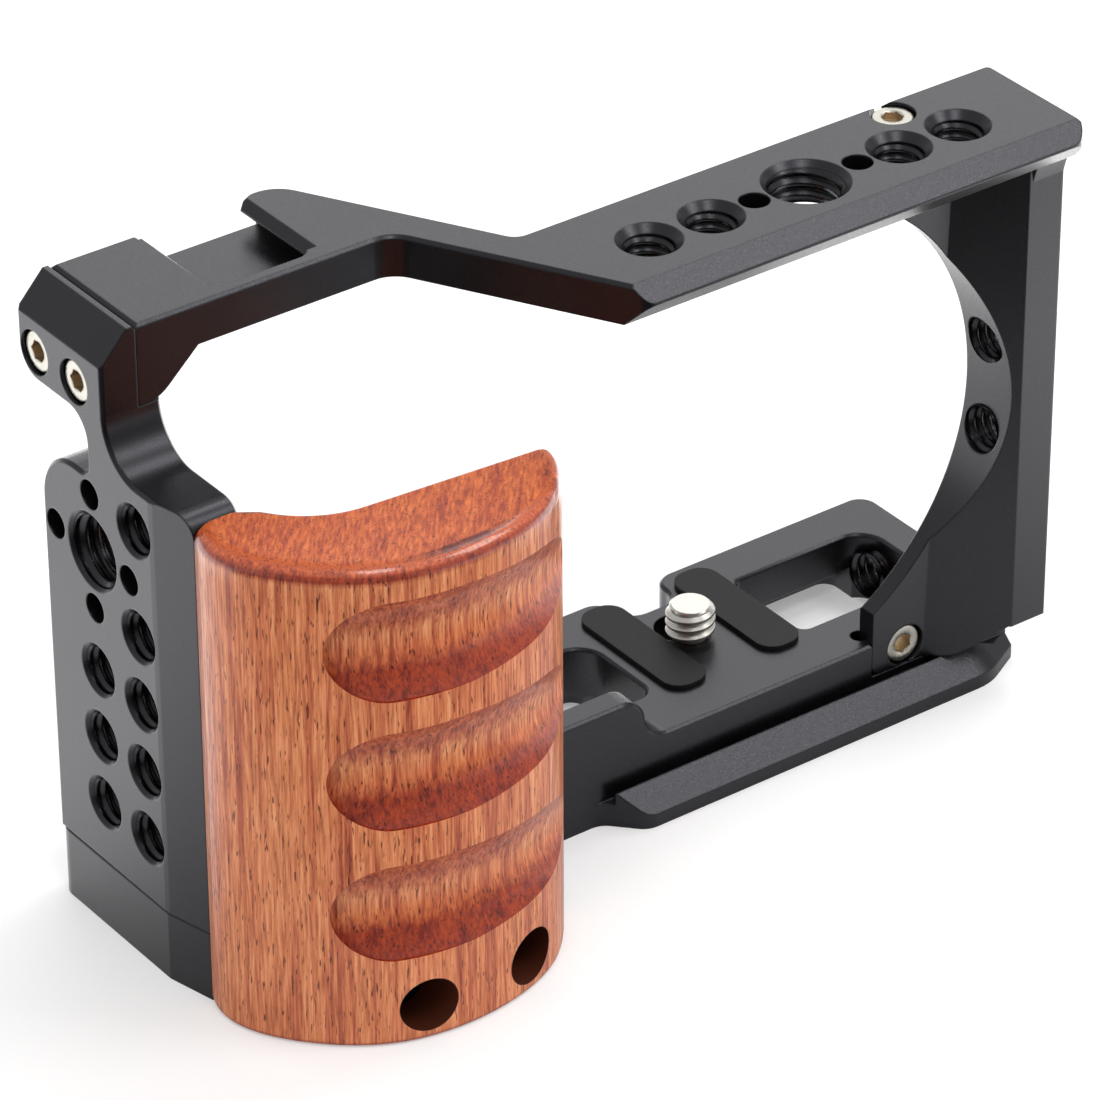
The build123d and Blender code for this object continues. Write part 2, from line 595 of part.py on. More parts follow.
# ------------------------------------------------------------------ base plate
RAIL_REAR_Y = REAR_Y + FRONT_Y - RAIL_Y
rail_middle_y = (RAIL_Y + RAIL_REAR_Y) / 2
rail_top_z = RAIL_LIP + RAIL_RISE
flank_y = RAIL_Y + RAIL_RISE
window_depth = WINDOW_REAR_Y - WINDOW_FRONT_Y

# One dovetail rail on its own: a 45 degree flank follows its edge, with a groove behind it
with BuildPart() as rail:
    with BuildSketch() as rail_outline:
        with BuildLine():
            Polyline(
                (RAIL_START_X - 2 * RAIL_END_R, FRONT_Y),
                (RAIL_START_X, FRONT_Y),
                (RAIL_LEFT_X, RAIL_Y),
                (RAIL_TURN_X, RAIL_Y),
                (RIGHT_X, RAIL_TURN_Y),
                (RIGHT_X, FRONT_Y + 1),
                (RAIL_START_X - 2 * RAIL_END_R, FRONT_Y + 1),
                close=True,
            )
        make_face()
        for x, y, radius in (
            (RAIL_START_X, FRONT_Y, RAIL_END_R),
            (RAIL_LEFT_X, RAIL_Y, RAIL_END_R),
            (RAIL_TURN_X, RAIL_Y, RAIL_TURN_R),
        ):
            fillet(rail_outline.vertices().sort_by_distance((x, y, 0))[0], radius)
    extrude(amount=rail_top_z)
    with BuildLine(Plane.XY.offset(RAIL_LIP)) as rail_edge:
        beyond = (2 * RIGHT_X - RAIL_TURN_X, 2 * RAIL_TURN_Y - RAIL_Y)
        FilletPolyline((RAIL_START_X, RAIL_Y), (RAIL_TURN_X, RAIL_Y), beyond, radius=RAIL_TURN_R)
    with BuildSketch(Plane.YZ.offset(RAIL_START_X)) as flank:
        with BuildLine():
            Polyline(
                (RAIL_Y - 1, RAIL_LIP),
                (RAIL_Y, RAIL_LIP),
                (flank_y + 1, rail_top_z + 1),
                (RAIL_Y - 1, rail_top_z + 1),
                close=True,
            )
        make_face()
    sweep(flank.sketch, path=rail_edge.wires()[0], mode=Mode.SUBTRACT)
    with BuildSketch(Plane.YZ.offset(RAIL_START_X - 2 * RAIL_END_R)) as groove:
        with Locations((flank_y + RAIL_LAND, rail_top_z)):
            Rectangle(FRONT_Y - flank_y - RAIL_LAND, RAIL_GROOVE, align=(Align.MIN, Align.MAX))
    extrude(groove.sketch, amount=RIGHT_X - LEFT_X, mode=Mode.SUBTRACT)

with BuildPart() as base_plate:
    with BuildSketch() as base_outline:
        with BuildLine():
            Polyline(
                GRIP_BACK[0],
                (GRIP_BACK[0][0], FRONT_Y),
                (RIGHT_X, FRONT_Y),
                (RIGHT_X, REAR_Y),
                (LEFT_X, REAR_Y),
                (LEFT_X, FACET_Y),
                (LEFT_X + FACET_IN, GRIP_FACE_Y),
                GRIP_BACK[-1],
            )
            FilletPolyline(*GRIP_BACK, radius=GRIP_BACK_R)
        make_face()
        with Locations((0, NOTCH_Y)):
            Rectangle(2 * NOTCH_HALF, 20, align=(Align.CENTER, Align.MIN), mode=Mode.SUBTRACT)
        for x, y, radius in (
            (LEFT_X, REAR_Y, BASE_CORNER_R),
            (RIGHT_X, REAR_Y, NOTCH_R),
            (-NOTCH_HALF, REAR_Y, NOTCH_R),
            (NOTCH_HALF, REAR_Y, NOTCH_R),
            (-NOTCH_HALF, NOTCH_Y, NOTCH_R),
            (NOTCH_HALF, NOTCH_Y, NOTCH_R),
            (GRIP_BACK[0][0], FRONT_Y, NOTCH_R),
        ):
            fillet(base_outline.vertices().sort_by_distance((x, y, 0))[0], radius)
    extrude(amount=BASE_TOP)
    rim = base_plate.faces().sort_by(Axis.Z)[-1].edges()
    chamfer(rim.filter_by(lambda e: e.center().Y > FRONT_Y + 1), EASE)
    add(rail.part)
    mirror(rail.part, about=Plane.XZ.offset(-rail_middle_y))

    # Raised curb that stops the camera's front edge
    with BuildSketch(Plane.XZ.offset(-FRONT_Y)) as curb:
        with BuildLine():
            Polyline(
                (CURB_RIGHT_X, BASE_TOP),
                (CURB_RIGHT_X, BASE_TOP - 1),
                (CURB_LEFT_X, BASE_TOP - 1),
                (CURB_LEFT_X, CURB_TOP_Z),
                (CURB_RIGHT_X - 6.8, CURB_TOP_Z),
            )
            curb_turn = (CURB_RIGHT_X - 3.3, CURB_TURN_Z)
            ThreePointArc(
                (CURB_RIGHT_X - 6.8, CURB_TOP_Z),
                (CURB_RIGHT_X - 4.4, CURB_TOP_Z - 1.1),
                curb_turn,
            )
            ThreePointArc(
                curb_turn,
                (CURB_RIGHT_X - 2.1, BASE_TOP + 0.9),
                (CURB_RIGHT_X, BASE_TOP),
            )
        make_face()
    extrude(curb.sketch, amount=FRONT_Y - CURB_BACK_Y)

    # Windows with shallow pockets below them
    for (x_min, x_max), radius in ((LEFT_WINDOW_X, LEFT_WINDOW_R), (RIGHT_WINDOW_X, RIGHT_WINDOW_R)):
        with BuildSketch() as window:
            with Locations((x_min, WINDOW_FRONT_Y)):
                Rectangle(x_max - x_min, window_depth, align=Align.MIN)
            fillet(window.vertices().group_by(Axis.X)[0], radius)
            fillet(window.vertices().sort_by_distance((x_max, WINDOW_FRONT_Y, 0))[0], WINDOW_FRONT_R)
            fillet(window.vertices().sort_by_distance((x_max, WINDOW_REAR_Y, 0))[0], WINDOW_REAR_R)
        extrude(window.sketch, amount=BASE_TOP, mode=Mode.SUBTRACT)
        new_rim = base_plate.edges(Select.LAST).filter_by(Plane.XY).group_by(Axis.Z)[-1]
        chamfer(new_rim, WINDOW_EASE)
    with BuildSketch() as left_pocket:
        with Locations((LEFT_WINDOW_X[0] - 2, WINDOW_FRONT_Y - 2)):
            pocket_size = (LEFT_WINDOW_X[1] - LEFT_WINDOW_X[0] + 2, window_depth + 4)
            Rectangle(*pocket_size, align=Align.MIN)
        fillet(left_pocket.vertices(), 2.0)
    extrude(left_pocket.sketch, amount=LEFT_POCKET_Z, mode=Mode.SUBTRACT)
    with BuildSketch() as right_pocket:
        with Locations((RIGHT_POCKET_X[0], WINDOW_FRONT_Y)):
            pocket_size = (RIGHT_POCKET_X[1] - RIGHT_POCKET_X[0], POCKET_REAR_Y - WINDOW_FRONT_Y)
            Rectangle(*pocket_size, align=Align.MIN)
        fillet(right_pocket.vertices(), 2.0)
    extrude(right_pocket.sketch, amount=RIGHT_POCKET_Z, mode=Mode.SUBTRACT)

    # Channel and slot of the camera screw
    with BuildSketch() as channel:
        with Locations((0, CHANNEL_FRONT_Y)):
            Rectangle(2 * CHANNEL_HALF, 40, align=(Align.CENTER, Align.MIN))
        fillet(channel.vertices().group_by(Axis.Y)[0], 3.0)
    extrude(channel.sketch, amount=WEB_LOW_Z, mode=Mode.SUBTRACT)
    round_cut(Plane.XY.offset(BASE_TOP), [(0, ENTRY_Y)], ENTRY_R, BASE_TOP)
    round_cut(Plane.XY.offset(BASE_TOP), [(0, 0)], SLOT_HALF, BASE_TOP)
    with BuildSketch() as slot:
        Rectangle(2 * SLOT_HALF, ENTRY_Y, align=(Align.CENTER, Align.MIN))
    extrude(slot.sketch, amount=BASE_TOP, mode=Mode.SUBTRACT)

    # Pocket for the foot of the lens-side plate
    with BuildSketch(Plane.XZ.offset(-LENS_BACK_Y)) as foot_pocket:
        with BuildLine():
            Polyline(
                (FOOT_X, FOOT_LOW_Z),
                (FOOT_RUN_X, FOOT_LOW_Z),
                (FOOT_OUT_X, BASE_TOP),
                (FOOT_X, BASE_TOP),
                close=True,
            )
        make_face()
    extrude(foot_pocket.sketch, amount=LENS_BACK_Y - FRONT_Y, mode=Mode.SUBTRACT)
    round_cut(Plane.XY.offset(BASE_TOP), [(FOOT_X, LENS_BACK_Y)], FOOT_RELIEF_R, BASE_TOP - FOOT_LOW_Z)
    for rim_low_z, rim_high_z in ((BASE_TOP, CURB_TURN_Z), (CURB_TURN_Z, CURB_TOP_Z)):
        front_rim = base_plate.edges().filter_by(lambda e: abs(e.center().Y - FRONT_Y) < 0.01)
        front_rim = front_rim.filter_by(lambda e: CURB_LEFT_X < e.center().X < FOOT_X)
        chamfer(front_rim.filter_by(lambda e: rim_low_z - 0.01 < e.center().Z < rim_high_z + 0.01), EASE)

    round_cut(front_face, [FOOT_SCREW], SHANK_R + SCREW_GAP, SEAT_DEPTH + FOOT_SCREW_L)
    rimmed_holes(right_face, [(END_HOLE_Y, END_HOLE_Z)], TAP_R, SIDE_SINK_R, END_HOLE_DEPTH)
    screw_seats(bottom_face, side_screw_spots, BASE_TOP)
    round_cut(side_seam.offset(DOWEL_L / 2), side_dowel_spots, DOWEL_R + SCREW_GAP, DOWEL_L / 2)
    round_cut(grip_seat, grip_screw_spots, GRIP_SHANK_R + SCREW_GAP, GRIP_SCREW_L)
base_plate.part.label = "base_plate"
export_step(base_plate.part, "parts/base_plate.step")


# ---------------------------------------------------------------- rubber pads
for pad_name, pad_x in zip(("pad_left", "pad_right"), PAD_X):
    with BuildPart() as pad:
        with BuildSketch(Plane.XY.offset(BASE_TOP)):
            with Locations((pad_x, PAD_Y)):
                RectangleRounded(PAD_W, PAD_L, PAD_CORNER_R)
        extrude(amount=PAD_T)
    pad.part.label = pad_name
    export_step(pad.part, f"parts/{pad_name}.step")


# --------------------------------------------------------- camera screw and ring
knob_low_z = KNOB_TOP_Z - KNOB_T
screw_profile = (
    (0, knob_low_z),
    (KNOB_R - 0.5, knob_low_z),
    (KNOB_R, knob_low_z + 0.5),
    (KNOB_R, KNOB_TOP_Z - 0.4),
    (KNOB_R - 0.4, KNOB_TOP_Z),
    (NECK_R, KNOB_TOP_Z),
    (NECK_R, THREAD_LOW_Z),
    (THREAD_R, THREAD_LOW_Z),
    (THREAD_R, SCREW_TOP_Z - THREAD_BEVEL),
    (THREAD_R - THREAD_BEVEL, SCREW_TOP_Z),
    (0, SCREW_TOP_Z),
)

with BuildPart() as camera_screw:
    with BuildSketch(Plane.XZ):
        with BuildLine():
            Polyline(*screw_profile, close=True)
        make_face()
    revolve(axis=Axis.Z)
    for side in (1, -1):
        ring_socket = Plane(origin=(side * KNOB_R, 0, PIVOT_Z), x_dir=(0, 1, 0), z_dir=(side, 0, 0))
        round_cut(ring_socket, [(0, 0)], RING_WIRE_R + RUN_GAP, 1.8)
    with Locations((0, 0, knob_low_z)):
        Box(3 * KNOB_R, 1.3, 1.2, mode=Mode.SUBTRACT)
camera_screw.part.label = "camera_screw"
export_step(camera_screw.part, "parts/camera_screw.step")

with BuildPart() as screw_washer:
    with BuildSketch(Plane.XY.offset(WEB_LOW_Z - MOVE_GAP)):
        Circle(WASHER_R)
        Circle(NECK_R + RUN_GAP, mode=Mode.SUBTRACT)
    extrude(amount=-WASHER_T)
screw_washer.part.label = "screw_washer"
export_step(screw_washer.part, "parts/screw_washer.step")

with BuildPart() as screw_ring:
    with BuildSketch(Plane.XZ):
        with Locations((-RING_R, PIVOT_Z)):
            Circle(RING_WIRE_R)
    revolve(axis=Axis.Z, revolution_arc=180)
    for side in (1, -1):
        with BuildSketch(Plane.YZ.offset(side * (KNOB_R - 1.5))) as wire_end:
            with Locations((0, PIVOT_Z)):
                Circle(RING_WIRE_R)
        extrude(wire_end.sketch, amount=side * (RING_R - KNOB_R + 1.5))
        with Locations((side * RING_R, 0, PIVOT_Z)):
            Sphere(RING_WIRE_R)
screw_ring.part.label = "screw_ring"
export_step(screw_ring.part, "parts/screw_ring.step")


# ---------------------------------------------------------------- wooden grip
with BuildPart() as finger_grooves:
    axis_x, axis_y = GROOVE_AXIS
    with BuildSketch(Plane.XZ.offset(-axis_y)):
        with Locations(*[(axis_x + GROOVE_DEPTH_R + GROOVE_SECTION_R, z) for z in GROOVE_Z]):
            Circle(GROOVE_SECTION_R)
        with Locations((axis_x, GRIP_TOP_Z / 2)):
            Rectangle(2 * (GROOVE_DEPTH_R + GROOVE_REACH), 2 * GRIP_TOP_Z, mode=Mode.INTERSECT)
    revolve(axis=Axis((axis_x, axis_y, 0), (0, 0, 1)))
    with BuildSketch(Plane.XZ) as groove_ends:
        with Locations(*[(sum(GROOVE_X) / 2, z) for z in GROOVE_Z]):
            SlotOverall(GROOVE_X[1] - GROOVE_X[0], 2 * GROOVE_HALF)
    extrude(amount=REACH, mode=Mode.INTERSECT)

with BuildPart() as wood_grip:
    with BuildSketch():
        with BuildLine():
            Spline((LEFT_X + FACET_IN, GRIP_FACE_Y), *GRIP_FRONT, GRIP_BACK[0])
            FilletPolyline(*GRIP_BACK, radius=GRIP_BACK_R)
            Line(GRIP_BACK[-1], (LEFT_X + FACET_IN, GRIP_FACE_Y))
        make_face()
    extrude(amount=GRIP_TOP_Z)
    front_edges = wood_grip.edges().filter_by(GeomType.BSPLINE)
    fillet(front_edges.group_by(Axis.Z)[-1], GRIP_TOP_R)
    fillet(wood_grip.edges().filter_by(GeomType.BSPLINE).group_by(Axis.Z)[0], GRIP_LOW_R)
    grip_end = (*GRIP_BACK[0], GRIP_TOP_Z / 2)
    fillet(wood_grip.edges().filter_by(Axis.Z).sort_by_distance(grip_end)[0], GRIP_END_R)
    add(finger_grooves.part, mode=Mode.SUBTRACT)
    grip_bores = [(x, GRIP_SCREW_Z) for x in GRIP_SCREW_X]
    round_cut(front_face.offset(REACH), grip_bores, GRIP_BORE_R, REACH + FRONT_Y - GRIP_SEAT_Y)
    round_cut(front_face.offset(REACH), grip_bores, GRIP_SHANK_R + SCREW_GAP, REACH + GRIP_SCREW_L)
    round_cut(grip_seam.offset(DOWEL_L / 2), grip_dowel_spots, DOWEL_R + SCREW_GAP, DOWEL_L)
wood_grip.part.label = "wood_grip"
export_step(wood_grip.part, "parts/wood_grip.step")


# ------------------------------------------------------ screws, washers, dowels
small_screws = (
    ("head_screws", left_face, head_screw_spots, HEAD_SCREW_L),
    ("bar_screw", top_face, [BAR_SCREW], BAR_SCREW_L),
    ("foot_screw", front_face, [FOOT_SCREW], FOOT_SCREW_L),
    ("side_screws", bottom_face, side_screw_spots, SIDE_SCREW_L),
)
for screw_name, face, spots, length in small_screws:
    screws = socket_screws(face.offset(-SEAT_DEPTH), spots, HEAD_R, HEAD_H, SHANK_R, length)
    screws.label = screw_name
    export_step(screws, f"parts/{screw_name}.step")

grip_screws = socket_screws(
    grip_seat.offset(WASHER_H), grip_screw_spots, GRIP_HEAD_R, GRIP_HEAD_H, GRIP_SHANK_R, GRIP_SCREW_L
)
grip_screws.label = "grip_screws"
export_step(grip_screws, "parts/grip_screws.step")

with BuildPart() as grip_washers:
    with BuildSketch(grip_seat):
        with Locations(*grip_screw_spots):
            Circle(GRIP_HEAD_R)
            Circle(GRIP_SHANK_R + SCREW_GAP, mode=Mode.SUBTRACT)
    extrude(amount=WASHER_H)
grip_washers.part.label = "grip_washers"
export_step(grip_washers.part, "parts/grip_washers.step")

dowels = (
    ("arm_dowel", arm_seam, arm_dowel_spots, SHORT_DOWEL_L),
    ("side_dowels", side_seam, side_dowel_spots, DOWEL_L),
    ("bar_dowels", bar_seam, bar_dowel_spots, SHORT_DOWEL_L),
    ("grip_dowels", grip_seam, grip_dowel_spots, DOWEL_L),
)
for dowel_name, face, spots, length in dowels:
    pins = dowel_pins(face, spots, length)
    pins.label = dowel_name
    export_step(pins, f"parts/{dowel_name}.step")
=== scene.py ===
"""Looks of the camera cage: materials, cut threads, screws, floor, light and camera."""
import math

import bmesh
import bpy
from mathutils import Matrix, Vector


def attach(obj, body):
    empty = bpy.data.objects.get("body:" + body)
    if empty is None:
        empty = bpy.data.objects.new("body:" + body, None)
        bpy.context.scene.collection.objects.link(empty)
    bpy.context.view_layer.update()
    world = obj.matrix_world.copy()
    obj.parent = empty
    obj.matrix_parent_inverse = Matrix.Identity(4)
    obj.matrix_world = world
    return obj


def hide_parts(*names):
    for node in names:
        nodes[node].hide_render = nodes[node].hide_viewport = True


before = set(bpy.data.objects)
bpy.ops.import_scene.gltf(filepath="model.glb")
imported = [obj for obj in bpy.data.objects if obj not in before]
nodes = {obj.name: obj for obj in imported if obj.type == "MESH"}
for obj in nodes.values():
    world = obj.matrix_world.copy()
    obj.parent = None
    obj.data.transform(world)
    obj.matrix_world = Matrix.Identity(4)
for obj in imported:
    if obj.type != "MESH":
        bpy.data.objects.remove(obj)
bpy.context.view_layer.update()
MM = 0.001

LEFTWARD, RIGHTWARD = (-1, 0, 0), (1, 0, 0)
FORWARD = (0, -1, 0)
DOWNWARD, UPWARD = (0, 0, -1), (0, 0, 1)

# Sizes shared with the part's source, in millimetres
LEFT_X = -86.0
RIGHT_X = 39.0
TOP_Z = 83.7
FRONT_Y = -15.6
SIDE_T = 8.0
ARM_T = 5.4

# Tapped holes
TAP_R = 3.1
BIG_TAP_R = 4.7
FINE_PITCH = 1.27  # 20 threads to the inch
COARSE_PITCH = 1.5875  # 16 threads to the inch
SIDE_RIM = 0.45  # depth of each countersink
BAR_RIM = 1.0
BAR_BIG_RIM = 0.8
SIDE_ROWS = ((-6.9, 4), (2.3, 3))  # y of each row and its number of evenly spaced holes
LOW_HOLE_Z = 18.25
HOLE_PITCH = 9.4
SIDE_HIGH_HOLE = (LEFT_X, -6.9, 60.9)
SIDE_BIG_HOLE = (LEFT_X, 2.3, 53.5)
BAR_HOLES_Y = -20.4
BAR_HOLES_X = (-22.4, -13.3, 14.9, 24.0)
BAR_BIG_X = 0.8
LENS_HOLES = ((RIGHT_X, -17.2, 36.75), (RIGHT_X, -17.2, 49.65))
LENS_WALL_T = 6.8
END_HOLE = (RIGHT_X, 4.0, 4.6)
END_HOLE_DEPTH = 7.5

# The cage's own screws
SEAT_DEPTH = 2.1
HEAD_R = 2.65
HEAD_H = 1.7
SHANK_R = 1.5
SOCKET_R = 1.4
SUNK = SEAT_DEPTH - HEAD_H  # how far a head's top lies below the surface around it
ARM_SCREWS_Y = (4.5, 12.8)
ARM_SCREWS_Z = 75.3
BAR_SCREW = (19.6, -13.4)  # x and y
FOOT_SCREW = (22.3, 7.7)  # x and z
SIDE_SCREWS_X = LEFT_X + 4.4
SIDE_SCREWS_Y = (-13.2, 8.6)

# Camera screw
SCREW_R = 3.175
SCREW_ROOT_R = 2.62
SCREW_TOP_Z = 14.5
SCREW_EASE = 0.75  # bevel at its tip
THREAD_LOW_Z = 10.6
NECK_R = 2.3
KNOB_R = 5.2
KNOB_TOP_Z = 4.3
KNOB_T = 3.3
FLUTES = 36
FLUTE_SHARE = 0.96  # radius of a flute's floor as a share of the knob's
COIN_SLOT_W = 1.3
COIN_SLOT_DEPTH = 1.2
PIN_HOLE_R = 0.85
PIN_HOLE_DEPTH = 1.8

# Wooden grip
GRIP_SEAT_Y = -28.4
GRIP_WASHER_T = 0.8
GRIP_HEAD_H = 4.0
GRIP_SCREW_X = (-68.1, -52.9)
GRIP_SCREW_Z = 4.9
GRIP_BORE_R = 3.6
GRIP_TOP_Z = 66.0
SCORCHES = (((-77.0, -18.5), 7.0), ((-46.5, -29.5), 5.0), ((-62.0, -36.8), 13.0))  # centre and reach

# Surroundings
SKY_DIFFUSE = 0.85  # strength of the world as it lights matt surfaces
SKY_GLOSS = 0.6  # and as it is mirrored
FLOOR_LIFT = 0.3  # what the floor gives off by itself, as the camera sees it
FLOOR_HALF = 6.0  # metres
FLOOR_GAP = 0.02  # keeps the floor clear of the base's underside
GLOW_BEHIND = 1.25  # what the mirrored floor gives off behind the cage
GLOW_ASIDE = 1.3  # and to its right
LAMP_DISTANCE = 1.3  # metres
LAMP_AIM = (-0.03, 0, 0.04)


# ---------------------------------------------------------------- node helpers
def linear(hex_colour):
    """sRGB hex to the linear colour that Blender's sockets take."""
    parts = [int(hex_colour[i:i + 2], 16) / 255 for i in (1, 3, 5)]
    return [c / 12.92 if c <= 0.04045 else ((c + 0.055) / 1.055) ** 2.4 for c in parts] + [1.0]


def node(tree, kind, links=None, stops=(), **settings):
    """Add a shader node, set its properties, its colour stops and its sockets, and link its inputs."""
    added = tree.nodes.new(kind)
    for name, value in settings.items():
        setattr(added, name, value)
    for index, (place, colour) in enumerate(stops):
        element = added.color_ramp.elements[index] if index < 2 else added.color_ramp.elements.new(1.0)
        element.position = place
        element.color = linear(colour)
    for socket, source in (links or {}).items():
        if isinstance(source, bpy.types.Node):
            source = next(output for output in source.outputs if output.enabled)
        if isinstance(source, bpy.types.NodeSocket):
            tree.links.new(source, added.inputs[socket])
        else:
            added.inputs[socket].default_value = source
    return added


def material(name):
    """An empty node material: the material, its tree, its Principled shader and its texture coordinates."""
    made = bpy.data.materials.new(name)
    made.use_nodes = True
    tree = made.node_tree
    shader = next(n for n in tree.nodes if n.type == "BSDF_PRINCIPLED")
    return made, tree, shader, node(tree, "ShaderNodeTexCoord").outputs["Object"]


# ---------------------------------------------------------------- materials
def anodised(name, dark, light, smooth, rough):
    """Aluminium, milled, bead blasted and anodised black: deep satin black with a fine matt grain, cool where
    it shines, and every edge breaks over a narrow rounding that catches the light."""
    made, tree, shader, place = material(name)
    # Blast grit is about 0.1 mm wide, too fine to show, so it is drawn at 0.22 mm
    grit = node(tree, "ShaderNodeTexNoise", {"Vector": place, "Scale": 1 / (0.22 * MM), "Detail": 2.0})
    cloud = node(tree, "ShaderNodeTexNoise", {"Vector": place, "Scale": 1 / (9 * MM), "Detail": 3.0})
    tone = node(tree, "ShaderNodeValToRGB", {"Fac": cloud}, stops=((0.3, dark), (0.7, light)))
    tree.links.new(tone.outputs[0], shader.inputs["Base Color"])
    level = node(tree, "ShaderNodeMapRange", {"Value": grit, "From Min": 0.3, "From Max": 0.7,
                                              "To Min": smooth, "To Max": rough})
    tree.links.new(level.outputs[0], shader.inputs["Roughness"])
    edge = node(tree, "ShaderNodeBevel", {"Radius": 0.35 * MM}, samples=6)
    bump = node(tree, "ShaderNodeBump", {"Height": grit, "Strength": 0.35, "Distance": 0.02 * MM,
                                         "Normal": edge})
    tree.links.new(bump.outputs[0], shader.inputs["Normal"])
    shader.inputs["IOR"].default_value = 1.55
    shader.inputs["Specular Tint"].default_value = linear("#F0F0FA")
    return made


def wood():
    """Reddish tropical hardwood, carved, oiled and lacquered: straight upright fibres with short dark pores,
    darker and more saturated where the carving cuts across the fibres, partly from oil and partly painted
    shade on faces that turn up, with a painted shade band under the top's rim, and faintly scorched along the
    rim."""
    made, tree, shader, place = material("lacquered_hardwood")
    shape = node(tree, "ShaderNodeNewGeometry")
    upward = node(tree, "ShaderNodeSeparateXYZ", {"Vector": shape.outputs["Normal"]}).outputs["Z"]
    spot = node(tree, "ShaderNodeSeparateXYZ", {"Vector": place})

    # Straight fibres up the grip's sides, and growth rings that run aslant over its sawn top
    upright = node(tree, "ShaderNodeMapping", {"Vector": place, "Scale": (1, 1, 0.06)})
    aslant = node(tree, "ShaderNodeMapping", {"Vector": place, "Rotation": (0, 0, -0.7), "Scale": (1, 6, 1)},
                  vector_type="TEXTURE")
    on_top = node(tree, "ShaderNodeMapRange", {"Value": upward, "From Min": 0.8, "From Max": 0.95})
    grained = node(tree, "ShaderNodeMix", {"Factor": on_top, "A": upright, "B": aslant}, data_type="VECTOR")
    run = grained.outputs[1]
    # Fibres and pores are 0.1 to 0.2 mm wide in the wood, and are drawn about twice as wide so that they show
    fibre = node(tree, "ShaderNodeTexNoise", {"Vector": run, "Scale": 1 / (0.34 * MM), "Detail": 3.0,
                                              "Roughness": 0.6})
    long = node(tree, "ShaderNodeMapping", {"Vector": run, "Scale": (1, 1, 0.4)})
    band = node(tree, "ShaderNodeTexNoise", {"Vector": long, "Scale": 1 / (1.1 * MM), "Detail": 3.0,
                                             "Roughness": 0.7})
    short = node(tree, "ShaderNodeMapping", {"Vector": place, "Scale": (1, 1, 0.14)})
    pore = node(tree, "ShaderNodeTexNoise", {"Vector": short, "Scale": 1 / (0.26 * MM), "Detail": 1.0})

    strands = node(tree, "ShaderNodeValToRGB", {"Fac": fibre},
                   stops=((0.32, "#B06240"), (0.5, "#DA8C5A"), (0.68, "#F2AC80")))
    bands = node(tree, "ShaderNodeValToRGB", {"Fac": band},
                 stops=((0.34, "#BE8074"), (0.44, "#E6C4B8"), (0.52, "#FAEADE"), (0.66, "#FFFCF4")))
    toned = node(tree, "ShaderNodeMix", {"Factor": 0.9, "A": strands, "B": bands},
                 data_type="RGBA", blend_type="MULTIPLY")
    pores = node(tree, "ShaderNodeValToRGB", {"Fac": pore}, stops=((0.29, "#6A3E30"), (0.37, "#FFFFFF")))
    pored = node(tree, "ShaderNodeMix", {"Factor": 0.85, "A": toned.outputs[2], "B": pores},
                 data_type="RGBA", blend_type="MULTIPLY")

    # Colour set by the way a face turns. Faces that turn up, such as the grooves' lower walls, are darker and
    # redder, partly from oil sunk into the cut fibres and partly painted shade. Faces that turn down are a
    # little duller and pinker.
    lean = node(tree, "ShaderNodeMapRange", {"Value": upward, "From Min": -1.0, "From Max": 1.0})
    cut = node(tree, "ShaderNodeValToRGB", {"Fac": lean},
               stops=((0.36, "#DCB4AC"), (0.46, "#FFFFFF"), (0.56, "#F4D8C4"), (0.66, "#BC6C34"),
                      (0.84, "#B45C20")))
    rim = node(tree, "ShaderNodeMapRange", {"Value": spot.outputs["Z"], "From Min": (GRIP_TOP_Z - 4) * MM,
                                            "From Max": (GRIP_TOP_Z - 1.5) * MM})
    # Near the top: a painted shade band on the rim's fillet below its highlight, and the sawn top's more
    # orange tone
    sawn_tone_and_rim_shade = node(tree, "ShaderNodeValToRGB", {"Fac": lean},
                stops=((0.5, "#FFFFFF"), (0.64, "#B4683C"), (0.74, "#BC7044"), (0.84, "#E8A878"),
                       (0.98, "#E4AE6C")))
    facing_tone_and_shade = node(tree, "ShaderNodeMix", {"Factor": rim, "A": cut, "B": sawn_tone_and_rim_shade}, data_type="RGBA")
    oiled_and_shaded = node(tree, "ShaderNodeMix", {"Factor": 1.0, "A": pored.outputs[2], "B": facing_tone_and_shade.outputs[2]},
                 data_type="RGBA", blend_type="MULTIPLY")

    # Faint scorch marks along the top's rim
    char = node(tree, "ShaderNodeTexNoise", {"Vector": place, "Scale": 1 / (0.9 * MM), "Detail": 3.0,
                                             "Roughness": 0.7})
    near = 0.0
    for centre, reach in SCORCHES:
        source = Vector((*centre, GRIP_TOP_Z)) * MM
        away = node(tree, "ShaderNodeVectorMath", {0: place, 1: source}, operation="DISTANCE")
        close = node(tree, "ShaderNodeMapRange", {"Value": away.outputs["Value"], "From Min": 0.0,
                                                  "From Max": reach * MM, "To Min": 1.0, "To Max": 0.0})
        near = node(tree, "ShaderNodeMath", {0: near, 1: close}, operation="MAXIMUM")
    brink = node(tree, "ShaderNodeValToRGB", {"Fac": upward},
                 stops=((0.82, "#000000"), (0.9, "#FFFFFF"), (0.99, "#FFFFFF"), (0.9995, "#404040")))
    on_rim = node(tree, "ShaderNodeMath", {0: near, 1: brink}, operation="MULTIPLY")
    scorch = node(tree, "ShaderNodeMath", {0: on_rim, 1: char}, operation="MULTIPLY")
    scorched = node(tree, "ShaderNodeValToRGB", {"Fac": scorch}, stops=((0.16, "#FFFFFF"), (0.4, "#8A4A30")))
    marked = node(tree, "ShaderNodeMix", {"Factor": 1.0, "A": oiled_and_shaded.outputs[2], "B": scorched},
                  data_type="RGBA", blend_type="MULTIPLY")
